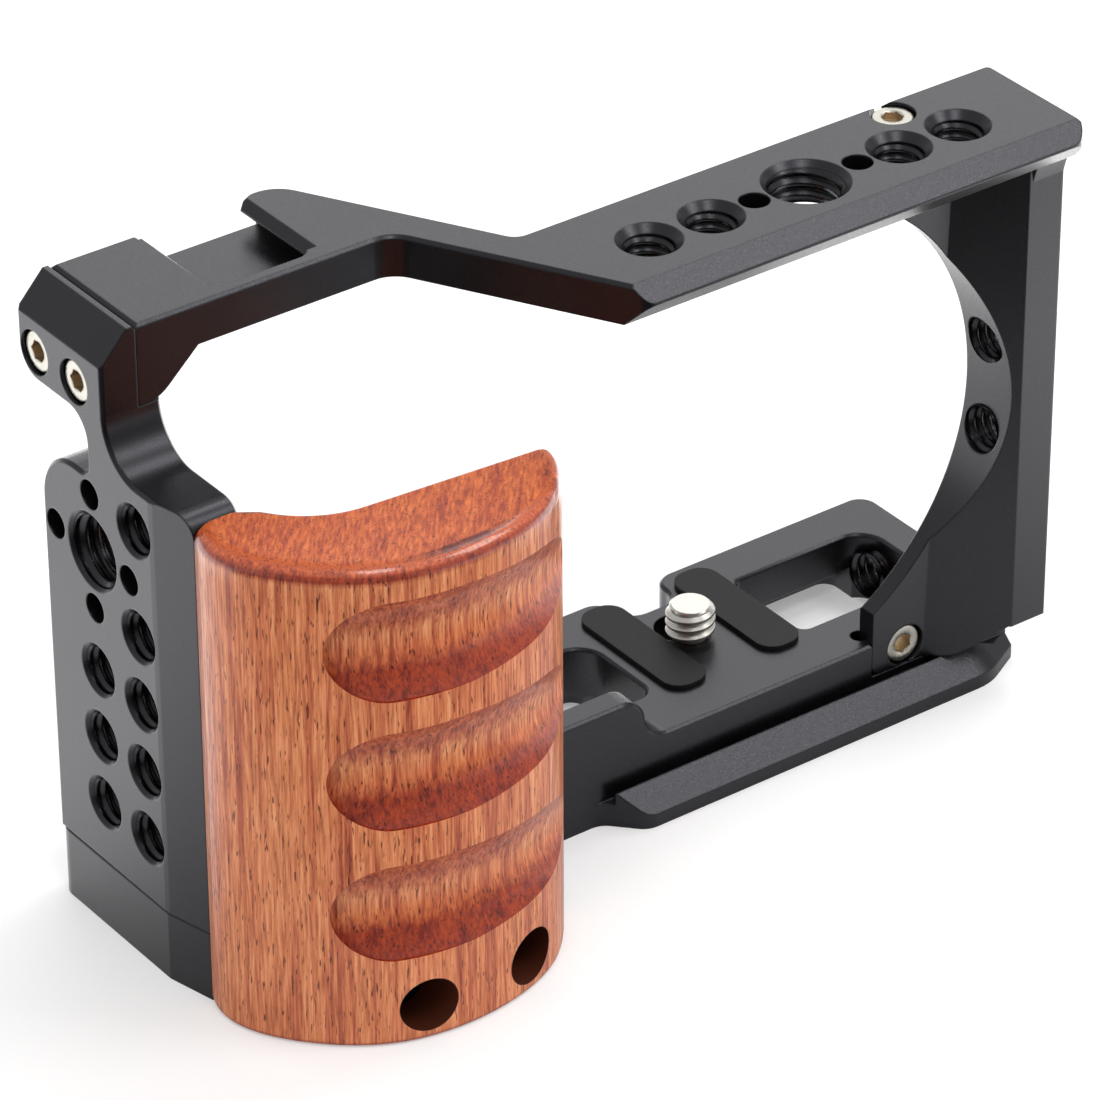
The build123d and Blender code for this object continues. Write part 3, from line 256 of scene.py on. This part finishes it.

    # Painted shade: dark brown inside the screw holes
    flat = node(tree, "ShaderNodeCombineXYZ", {"X": spot.outputs["X"], "Z": spot.outputs["Z"]})
    hole = 0.0
    for x in GRIP_SCREW_X:
        axis = (x * MM, 0, GRIP_SCREW_Z * MM)
        off = node(tree, "ShaderNodeVectorMath", {0: flat, 1: axis}, operation="DISTANCE")
        inside = node(tree, "ShaderNodeMath", {0: off.outputs["Value"], 1: (GRIP_BORE_R + 0.06) * MM},
                      operation="LESS_THAN")
        hole = node(tree, "ShaderNodeMath", {0: hole, 1: inside}, operation="MAXIMUM")
    shaded_bores = node(tree, "ShaderNodeMix", {"Factor": hole, "A": marked.outputs[2], "B": linear("#4A2010")},
                   data_type="RGBA")
    tree.links.new(shaded_bores.outputs[2], shader.inputs["Base Color"])

    sheen = node(tree, "ShaderNodeMapRange", {"Value": fibre, "From Min": 0.3, "From Max": 0.7,
                                              "To Min": 0.5, "To Max": 0.38})
    tree.links.new(sheen.outputs[0], shader.inputs["Roughness"])
    relief = node(tree, "ShaderNodeMath", {0: fibre, 1: pore}, operation="ADD")
    bump = node(tree, "ShaderNodeBump", {"Height": relief, "Strength": 0.25, "Distance": 0.04 * MM})
    tree.links.new(bump.outputs[0], shader.inputs["Normal"])

    # The lacquer pools along the rim and thins out over the sawn top
    pooled = node(tree, "ShaderNodeMapRange", {"Value": rim, "To Min": 0.3, "To Max": 1.0})
    thin = node(tree, "ShaderNodeMapRange", {"Value": on_top, "To Min": 1.0, "To Max": 0.0})
    lacquer = node(tree, "ShaderNodeMath", {0: pooled, 1: thin}, operation="MULTIPLY")
    tree.links.new(lacquer.outputs[0], shader.inputs["Coat Weight"])
    shader.inputs["Coat Roughness"].default_value = 0.13
    return made


def steel(name, colour, rough):
    """Steel, turned or cold headed: faint tool marks under a satin shine, and edges eased by a tenth of a
    millimetre."""
    made, tree, shader, place = material(name)
    # Tool marks are finer than 0.1 mm, too fine to show, so they are drawn at 0.35 mm
    marks = node(tree, "ShaderNodeTexNoise", {"Vector": place, "Scale": 1 / (0.35 * MM), "Detail": 2.0})
    level = node(tree, "ShaderNodeMapRange", {"Value": marks, "From Min": 0.3, "From Max": 0.7,
                                              "To Min": rough - 0.07, "To Max": rough + 0.07})
    tree.links.new(level.outputs[0], shader.inputs["Roughness"])
    edge = node(tree, "ShaderNodeBevel", {"Radius": 0.12 * MM}, samples=6)
    bump = node(tree, "ShaderNodeBump", {"Height": marks, "Strength": 0.15, "Distance": 0.02 * MM,
                                         "Normal": edge})
    tree.links.new(bump.outputs[0], shader.inputs["Normal"])
    shader.inputs["Base Color"].default_value = linear(colour)
    shader.inputs["Metallic"].default_value = 1.0
    return made


def rubber():
    """Die-cut rubber sheet: matt black, slightly pebbled, duller than the metal around it."""
    made, tree, shader, place = material("black_rubber")
    # The sheet's pebbles are about 0.1 mm wide, too fine to show, so they are drawn at 0.28 mm
    grain = node(tree, "ShaderNodeTexNoise", {"Vector": place, "Scale": 1 / (0.28 * MM), "Detail": 2.0})
    tone = node(tree, "ShaderNodeValToRGB", {"Fac": grain}, stops=((0.3, "#0C0C0D"), (0.7, "#161617")))
    tree.links.new(tone.outputs[0], shader.inputs["Base Color"])
    edge = node(tree, "ShaderNodeBevel", {"Radius": 0.2 * MM}, samples=6)
    bump = node(tree, "ShaderNodeBump", {"Height": grain, "Strength": 0.4, "Distance": 0.04 * MM,
                                         "Normal": edge})
    tree.links.new(bump.outputs[0], shader.inputs["Normal"])
    shader.inputs["Roughness"].default_value = 0.62
    shader.inputs["Specular IOR Level"].default_value = 0.35
    return made


black = anodised("black_anodised_aluminium", "#09090B", "#0E0E10", 0.27, 0.37)
# Threads are cut after blasting, so they are smoother and show sharp glints; their darker black is painted
# shade deep in the tapped holes
thread_black_shaded = anodised("anodised_cut_thread", "#040405", "#070708", 0.2, 0.28)
hardwood = wood()
stainless = steel("stainless_steel", "#B8B5AC", 0.34)  # small pale grey heads on the black
plated = steel("nickel_plated_steel", "#D2CFC8", 0.38)  # brighter and whiter than the heads
# A socket is punched and left rough, so it looks dull, and its walls and floor are drawn warmer than the head
dull_recess = steel("dull_warm_steel_recess", "#C8B496", 0.5)
dark_steel = steel("black_oxide_steel", "#2A2A2B", 0.42)  # a dull glint deep in the grip's holes
pad_rubber = rubber()

finishes = {
    black: ("side_plate", "top_arm", "lens_plate", "base_plate"),
    hardwood: ("wood_grip",),
    pad_rubber: ("pad_left", "pad_right"),
    dark_steel: ("grip_screws", "grip_washers"),
    plated: ("camera_screw", "screw_ring", "screw_washer"),
    stainless: ("head_screws", "bar_screw", "foot_screw", "side_screws",
                "arm_dowel", "side_dowels", "bar_dowels", "grip_dowels"),
}
for finish, names in finishes.items():
    for name in names:
        for place in nodes[name].material_slots:
            place.material = finish


# ---------------------------------------------------------------- shapes
def piece(name, shape, looks, body, replaced=None):
    """Finish a shape, drawn in millimetres, as a piece that rides on a body."""
    bmesh.ops.scale(shape, vec=(MM, MM, MM), verts=shape.verts)
    mesh = bpy.data.meshes.new(name)
    shape.to_mesh(mesh)
    shape.free()
    for look in looks:
        mesh.materials.append(look)
    mesh.shade_smooth()
    mesh.set_sharp_from_angle(angle=math.radians(32))
    made = bpy.data.objects.new(name, mesh)
    bpy.context.scene.collection.objects.link(made)
    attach(made, body)
    if replaced:
        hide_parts(replaced)


def to_radius(vert, radius):
    """Slide a vertex towards or away from the Z axis."""
    share = radius / vert.co.xy.length
    vert.co.x *= share
    vert.co.y *= share


def turned(shape, profile, steps=48):
    """Lathe a closed shape round the Z axis from pairs of radius and height."""
    corners = [shape.verts.new((radius, 0, height)) for radius, height in profile]
    edges = [shape.edges.new(pair) for pair in zip(corners, corners[1:])]
    bmesh.ops.spin(shape, geom=corners + edges, axis=(0, 0, 1), angle=math.tau, steps=steps, use_merge=True)
    bmesh.ops.remove_doubles(shape, verts=shape.verts, dist=1e-4)
    bmesh.ops.recalc_face_normals(shape, faces=shape.faces)


def thread(shape, root, crest, pitch, low, high, lead):
    """Wind a V thread round the Z axis between two heights; its ends fade into the root over the lead."""
    steps = 36  # to the turn
    turns = math.ceil((high - low) / pitch) + 2
    # Radius against share of the pitch: flat root, flank, flat crest, flank
    tooth = ((root, 0.0), (root, 0.14), (crest, 0.45), (crest, 0.69), (root, 1.0))
    corners = [shape.verts.new((radius, 0, low + (share - 1) * pitch)) for radius, share in tooth]
    edges = [shape.edges.new(pair) for pair in zip(corners, corners[1:])]
    bmesh.ops.spin(shape, geom=corners + edges, axis=(0, 0, 1), dvec=(0, 0, pitch / steps),
                   angle=math.tau * turns, steps=steps * turns)
    bmesh.ops.remove_doubles(shape, verts=shape.verts, dist=1e-3)
    for height, side in ((low, {"clear_inner": True}), (high, {"clear_outer": True})):
        everything = shape.verts[:] + shape.edges[:] + shape.faces[:]
        bmesh.ops.bisect_plane(shape, geom=everything, plane_co=(0, 0, height), plane_no=(0, 0, 1), **side)
    for vert in shape.verts:
        radius = vert.co.xy.length
        share = min(vert.co.z - low, high - vert.co.z) / lead if lead else 1.0
        limit = root + (crest - root) * min(1.0, max(0.0, share))
        to_radius(vert, min(radius, limit) if crest > root else max(radius, limit))
    face = next(iter(shape.faces))
    outwards = face.normal.xy.dot(face.calc_center_median().xy) > 0
    if outwards != (crest > root):
        bmesh.ops.reverse_faces(shape, faces=shape.faces)


def carve(shape, cutter):
    """Cut one closed shape out of another and return what is left."""
    stock = []
    for name, part in (("stock", shape), ("cutter", cutter)):
        mesh = bpy.data.meshes.new(name)
        part.to_mesh(mesh)
        part.free()
        stock.append(bpy.data.objects.new(name, mesh))
        bpy.context.scene.collection.objects.link(stock[-1])
    cut = stock[0].modifiers.new("cut", "BOOLEAN")
    cut.object = stock[1]
    cut.operation = "DIFFERENCE"
    result = bpy.data.meshes.new_from_object(stock[0].evaluated_get(bpy.context.evaluated_depsgraph_get()))
    left = bmesh.new()
    left.from_mesh(result)
    for spare in stock:
        bpy.data.objects.remove(spare)
    return left


def spread(shape, places):
    """Copies of one shape at several matrices, as one shape."""
    mesh = bpy.data.meshes.new("copy")
    shape.to_mesh(mesh)
    shape.free()
    group = bmesh.new()
    for matrix in places:
        before = len(group.verts)
        group.from_mesh(mesh)
        group.verts.ensure_lookup_table()
        bmesh.ops.transform(group, matrix=matrix, verts=group.verts[before:])
    bpy.data.meshes.remove(mesh)
    return group


def facing(origin, direction):
    """A matrix that turns the Z axis to a direction and moves the origin to a point."""
    turn = Vector((0, 0, 1)).rotation_difference(Vector(direction)).to_matrix().to_4x4()
    return Matrix.Translation(origin) @ turn


# ---------------------------------------------------------------- cut threads in the holes
side_holes = [(LEFT_X, y, LOW_HOLE_Z + HOLE_PITCH * n) for y, count in SIDE_ROWS for n in range(count)]
bar_holes = [(x, BAR_HOLES_Y, TOP_Z) for x in BAR_HOLES_X]
# Slot, direction, mouths, radius, pitch, depth of the countersink, depth of the hole
hole_groups = {
    "side_threads": (
        "side_plate", LEFTWARD, side_holes + [SIDE_HIGH_HOLE], TAP_R, FINE_PITCH, SIDE_RIM, SIDE_T),
    "side_large_thread": (
        "side_plate", LEFTWARD, [SIDE_BIG_HOLE], BIG_TAP_R, COARSE_PITCH, SIDE_RIM, SIDE_T),
    "bar_threads": (
        "top_arm", UPWARD, bar_holes, TAP_R, FINE_PITCH, BAR_RIM, ARM_T),
    "bar_large_thread": (
        "top_arm", UPWARD, [(BAR_BIG_X, BAR_HOLES_Y, TOP_Z)], BIG_TAP_R, COARSE_PITCH, BAR_BIG_RIM, ARM_T),
    "lens_wall_threads": (
        "lens_plate", RIGHTWARD, LENS_HOLES, TAP_R, FINE_PITCH, SIDE_RIM, LENS_WALL_T),
    "base_end_thread": (
        "base_plate", RIGHTWARD, [END_HOLE], TAP_R, FINE_PITCH, SIDE_RIM, END_HOLE_DEPTH),
}
for name, (slot, outward, mouths, radius, pitch, rim, depth) in hole_groups.items():
    liner = bmesh.new()
    # It stands 0.02 mm off the wall, and its crests are 0.4 pitches high
    thread(liner, radius - 0.02, radius - 0.4 * pitch, pitch, -depth + 0.05, -rim - 0.02, 0.5)
    piece(name, spread(liner, [facing(mouth, outward) for mouth in mouths]), [thread_black_shaded], "cage")


# ---------------------------------------------------------------- socket screws
def socket_screw(head_r, head_h, shank_r, length, socket_r):
    """One socket screw with its head's top at the origin, standing along Z."""
    ease = 0.13 * head_r  # rounding of the head's rim
    tip = 0.3
    screw = bmesh.new()
    turned(screw, (
        (0, 0), (head_r - ease, 0), (head_r - ease * 0.45, -ease * 0.18), (head_r - ease * 0.12, -ease * 0.5),
        (head_r, -ease), (head_r, -head_h), (shank_r, -head_h), (shank_r, -head_h - length + tip),
        (shank_r - tip, -head_h - length), (0, -head_h - length),
    ))
    # Sides, lower and upper radius, lower and upper height
    hexagon = (6, socket_r, socket_r, -0.62 * head_h, 1.0)
    countersink = (32, socket_r * 0.86, socket_r + 0.16, -0.16, 0.05)
    for sides, low_r, high_r, low, high in (hexagon, countersink):
        cutter = bmesh.new()
        bmesh.ops.create_cone(cutter, cap_ends=True, segments=sides, radius1=low_r, radius2=high_r,
                              depth=high - low)
        bmesh.ops.translate(cutter, vec=(0, 0, (high + low) / 2), verts=cutter.verts)
        screw = carve(screw, cutter)
    # The walls and the floor of the socket take the second material
    for face in screw.faces:
        centre = face.calc_center_median()
        if centre.xy.length < socket_r and -0.7 * head_h < centre.z < -0.2:
            face.material_index = 1
    return screw


# Node that it replaces, direction, tops of the heads, length under the head
screw_groups = {
    "arm_cap_screws": (
        "head_screws", LEFTWARD, [(LEFT_X + SUNK, y, ARM_SCREWS_Z) for y in ARM_SCREWS_Y], 6.4),
    "bar_cap_screw": (
        "bar_screw", UPWARD, [(*BAR_SCREW, TOP_Z - SUNK)], 6.6),
    "foot_cap_screw": (
        "foot_screw", FORWARD, [(FOOT_SCREW[0], FRONT_Y + SUNK, FOOT_SCREW[1])], 5.2),
    "side_cap_screws": (
        "side_screws", DOWNWARD, [(SIDE_SCREWS_X, y, SUNK) for y in SIDE_SCREWS_Y], 14.5),
}
for name, (replaced, outward, heads, length) in screw_groups.items():
    screw = socket_screw(HEAD_R, HEAD_H, SHANK_R, length, SOCKET_R)
    row = spread(screw, [facing(head, outward) for head in heads])
    piece(name, row, [stainless, dull_recess], "cage", replaced)
grip_screw = socket_screw(head_r=3.45, head_h=GRIP_HEAD_H, shank_r=2.0, length=12.0, socket_r=1.82)
grip_head_y = GRIP_SEAT_Y - GRIP_WASHER_T - GRIP_HEAD_H
grip_row = spread(grip_screw, [facing((x, grip_head_y, GRIP_SCREW_Z), FORWARD) for x in GRIP_SCREW_X])
piece("grip_cap_screws", grip_row, [dark_steel, dark_steel], "cage", "grip_screws")


# ---------------------------------------------------------------- camera screw
def camera_screw():
    """Threaded end, relieved neck and a finger knob with a fluted rim, a coin slot and holes for the ring."""
    end = bmesh.new()
    thread(end, SCREW_ROOT_R, SCREW_R, FINE_PITCH, THREAD_LOW_Z, SCREW_TOP_Z, 0.0)
    bevel_low = SCREW_TOP_Z - SCREW_EASE
    for vert in end.verts:
        limit = SCREW_R - (vert.co.z - bevel_low)
        if vert.co.z > bevel_low and vert.co.xy.length > limit:
            to_radius(vert, limit)
    for height, inner in ((SCREW_TOP_Z, 0.0), (THREAD_LOW_Z, NECK_R - 0.1)):
        rim = [e for e in end.edges if e.is_boundary and all(abs(v.co.z - height) < 1e-3 for v in e.verts)]
        for added in bmesh.ops.extrude_edge_only(end, edges=rim)["geom"]:
            if isinstance(added, bmesh.types.BMVert):
                to_radius(added, inner)
    bmesh.ops.remove_doubles(end, verts=end.verts, dist=1e-4)

    knob = bmesh.new()
    low = KNOB_TOP_Z - KNOB_T
    steps = 2 * FLUTES
    turned(knob, (
        (0, low), (KNOB_R - 0.5, low), (KNOB_R - 0.15, low + 0.15), (KNOB_R, low + 0.5),
        (KNOB_R, KNOB_TOP_Z - 0.4), (KNOB_R - 0.4, KNOB_TOP_Z), (NECK_R, KNOB_TOP_Z),
        (NECK_R, THREAD_LOW_Z + 0.3), (0, THREAD_LOW_Z + 0.3),
    ), steps)
    for vert in knob.verts:
        step = round(math.atan2(vert.co.y, vert.co.x) / math.tau * steps)
        radius = vert.co.xy.length
        if radius > KNOB_R - 0.2 and step % 2:
            to_radius(vert, FLUTE_SHARE * radius)
    slot = bmesh.new()
    bmesh.ops.create_cube(slot, size=1.0)
    bmesh.ops.scale(slot, vec=(3 * KNOB_R, COIN_SLOT_W, 2 * COIN_SLOT_DEPTH), verts=slot.verts)
    bmesh.ops.translate(slot, vec=(0, 0, low), verts=slot.verts)
    knob = carve(knob, slot)
    pin_hole = bmesh.new()
    bmesh.ops.create_cone(pin_hole, cap_ends=True, segments=24, radius1=PIN_HOLE_R, radius2=PIN_HOLE_R,
                          depth=2 * PIN_HOLE_DEPTH)
    pin_z = KNOB_TOP_Z - KNOB_T / 2
    pin_holes = spread(pin_hole, [facing((side * KNOB_R, 0, pin_z), RIGHTWARD) for side in (1, -1)])
    knob = carve(knob, pin_holes)
    mesh = bpy.data.meshes.new("knob")
    knob.to_mesh(mesh)
    knob.free()
    end.from_mesh(mesh)
    bpy.data.meshes.remove(mesh)
    return end


piece("threaded_camera_screw", camera_screw(), [plated], "screw", "camera_screw")


# ---------------------------------------------------------------- floor, light, camera
def studio():
    """A pale floor that keeps the shadow, and a white world that is dim on the side where the camera is."""
    mesh = bpy.data.meshes.new("floor")
    shape = bmesh.new()
    bmesh.ops.create_grid(shape, x_segments=1, y_segments=1, size=FLOOR_HALF)
    bmesh.ops.translate(shape, vec=(0, 0, -FLOOR_GAP * MM), verts=shape.verts)
    shape.to_mesh(mesh)
    shape.free()
    floor = bpy.data.objects.new("floor", mesh)
    bpy.context.scene.collection.objects.link(floor)
    made, tree, shader, place = material("pale_floor")
    mottle = node(tree, "ShaderNodeTexNoise", {"Vector": place, "Scale": 12.0, "Detail": 2.0})
    tone = node(tree, "ShaderNodeValToRGB", {"Fac": mottle}, stops=((0.3, "#DADADA"), (0.7, "#DEDEDE")))
    shader.inputs["Roughness"].default_value = 0.9
    shader.inputs["Specular IOR Level"].default_value = 0.2
    path = node(tree, "ShaderNodeLightPath")
    spot = node(tree, "ShaderNodeSeparateXYZ", {"Vector": place})

    # As the cage mirrors it, the floor in front is dark
    slant = node(tree, "ShaderNodeMath", {0: spot.outputs["X"], 1: 0.35, 2: spot.outputs["Y"]},
                 operation="MULTIPLY_ADD")
    before = node(tree, "ShaderNodeMapRange", {"Value": slant, "From Min": -0.075, "From Max": -0.105},
                  interpolation_type="SMOOTHSTEP")
    unlit = node(tree, "ShaderNodeMath", {0: path.outputs["Is Glossy Ray"], 1: before}, operation="MULTIPLY")
    sheet = node(tree, "ShaderNodeMix", {"Factor": unlit, "A": tone, "B": linear("#303030")},
                 data_type="RGBA")
    tree.links.new(sheet.outputs[2], shader.inputs["Base Color"])

    # As the cage mirrors it, the floor behind and to the right glows
    behind = node(tree, "ShaderNodeMapRange", {"Value": spot.outputs["Y"],
                                               "From Min": -0.02, "From Max": 0.04},
                  interpolation_type="SMOOTHSTEP")
    aside = node(tree, "ShaderNodeMapRange", {"Value": spot.outputs["X"],
                                              "From Min": 0.03, "From Max": 0.11},
                 interpolation_type="SMOOTHSTEP")
    right_glow = node(tree, "ShaderNodeMath", {0: aside, 1: GLOW_ASIDE}, operation="MULTIPLY")
    glow = node(tree, "ShaderNodeMath", {0: behind, 1: GLOW_BEHIND, 2: right_glow}, operation="MULTIPLY_ADD")
    mirrored = node(tree, "ShaderNodeMath", {0: path.outputs["Is Glossy Ray"], 1: glow}, operation="MULTIPLY")
    lift = node(tree, "ShaderNodeMath", {0: path.outputs["Is Camera Ray"], 1: FLOOR_LIFT, 2: mirrored},
                operation="MULTIPLY_ADD")
    shader.inputs["Emission Color"].default_value = (1, 1, 1, 1)
    tree.links.new(lift.outputs[0], shader.inputs["Emission Strength"])
    mesh.materials.append(made)

    world = bpy.data.worlds.new("studio")
    bpy.context.scene.world = world
    world.use_nodes = True
    world.cycles.sampling_method = "NONE"
    tree = world.node_tree
    background = tree.nodes["Background"]
    background.inputs["Color"].default_value = (1, 1, 1, 1)

    # As the cage mirrors it, the low sky in front is dim, and dimmest to the left
    toward = node(tree, "ShaderNodeTexCoord").outputs["Generated"]
    axes = node(tree, "ShaderNodeSeparateXYZ", {"Vector": toward})
    front = node(tree, "ShaderNodeMapRange", {"Value": axes.outputs["Y"],
                                              "From Min": -0.1, "From Max": -0.55})
    low = node(tree, "ShaderNodeMapRange", {"Value": axes.outputs["Z"],
                                            "From Min": 0.75, "From Max": 0.45})
    dim = node(tree, "ShaderNodeMath", {0: front, 1: low}, operation="MULTIPLY")
    dark = node(tree, "ShaderNodeMapRange", {"Value": axes.outputs["X"],
                                             "From Min": -0.1, "From Max": 0.3,
                                             "To Min": 0.1, "To Max": 0.4})
    mirrored = node(tree, "ShaderNodeMapRange", {"Value": dim, "To Min": SKY_GLOSS, "To Max": dark})
    path = node(tree, "ShaderNodeLightPath")
    soft = node(tree, "ShaderNodeMix", {"Factor": path.outputs["Is Glossy Ray"],
                                        "A": SKY_DIFFUSE, "B": mirrored}, data_type="FLOAT")
    seen = node(tree, "ShaderNodeMix", {"Factor": path.outputs["Is Camera Ray"],
                                        "A": soft, "B": 1.0}, data_type="FLOAT")
    tree.links.new(seen.outputs[0], background.inputs["Strength"])


def lamp(name, direction, size, glow):
    """A square soft lamp in a direction from the cage, with its width and its surface brightness."""
    light = bpy.data.lights.new(name, "AREA")
    light.size = size
    light.energy = glow * math.pi * size * size
    made = bpy.data.objects.new(name, light)
    made.location = Vector(direction).normalized() * LAMP_DISTANCE
    made.rotation_euler = (Vector(LAMP_AIM) - made.location).to_track_quat("-Z", "Y").to_euler()
    bpy.context.scene.collection.objects.link(made)


studio()
lamp("overhead_softbox", (0.5, 0.07, 0.87), 0.4, 6.5)
lamp("left_softbox", (-0.15, -0.45, 0.87), 0.35, 6.0)
lamp("front_softbox", (0.5, -0.48, 0.72), 0.45, 5.2)
lamp("back_softbox", (0.5, 0.68, 0.53), 0.9, 1.3)

# The camera stands in front and to the left, and looks down on the cage
AZIMUTH = math.radians(36.3336)
ELEVATION = math.radians(32.2021)
ROLL = math.radians(-0.2761)
TARGET = Vector((-26.305, -6.001, 35.377)) * MM
DISTANCE = 756.763 * MM
SENSOR_WIDTH = 36
FOCAL_LENGTH = 204.27
back = Vector((-math.sin(AZIMUTH) * math.cos(ELEVATION), -math.cos(AZIMUTH) * math.cos(ELEVATION),
               math.sin(ELEVATION)))
level = (-back).cross(Vector((0, 0, 1))).normalized()
upward = level.cross(-back)
right = level * math.cos(ROLL) + upward * math.sin(ROLL)
up = upward * math.cos(ROLL) - level * math.sin(ROLL)
lens = bpy.data.cameras.new("camera")
lens.sensor_width = SENSOR_WIDTH
lens.lens = FOCAL_LENGTH
lens.clip_start = 0.05
camera = bpy.data.objects.new("camera", lens)
turn = Matrix((right, up, back)).transposed().to_4x4()
camera.matrix_world = Matrix.Translation(TARGET + back * DISTANCE) @ turn
bpy.context.scene.collection.objects.link(camera)
bpy.context.scene.camera = camera
bpy.context.scene.view_settings.view_transform = "Standard"
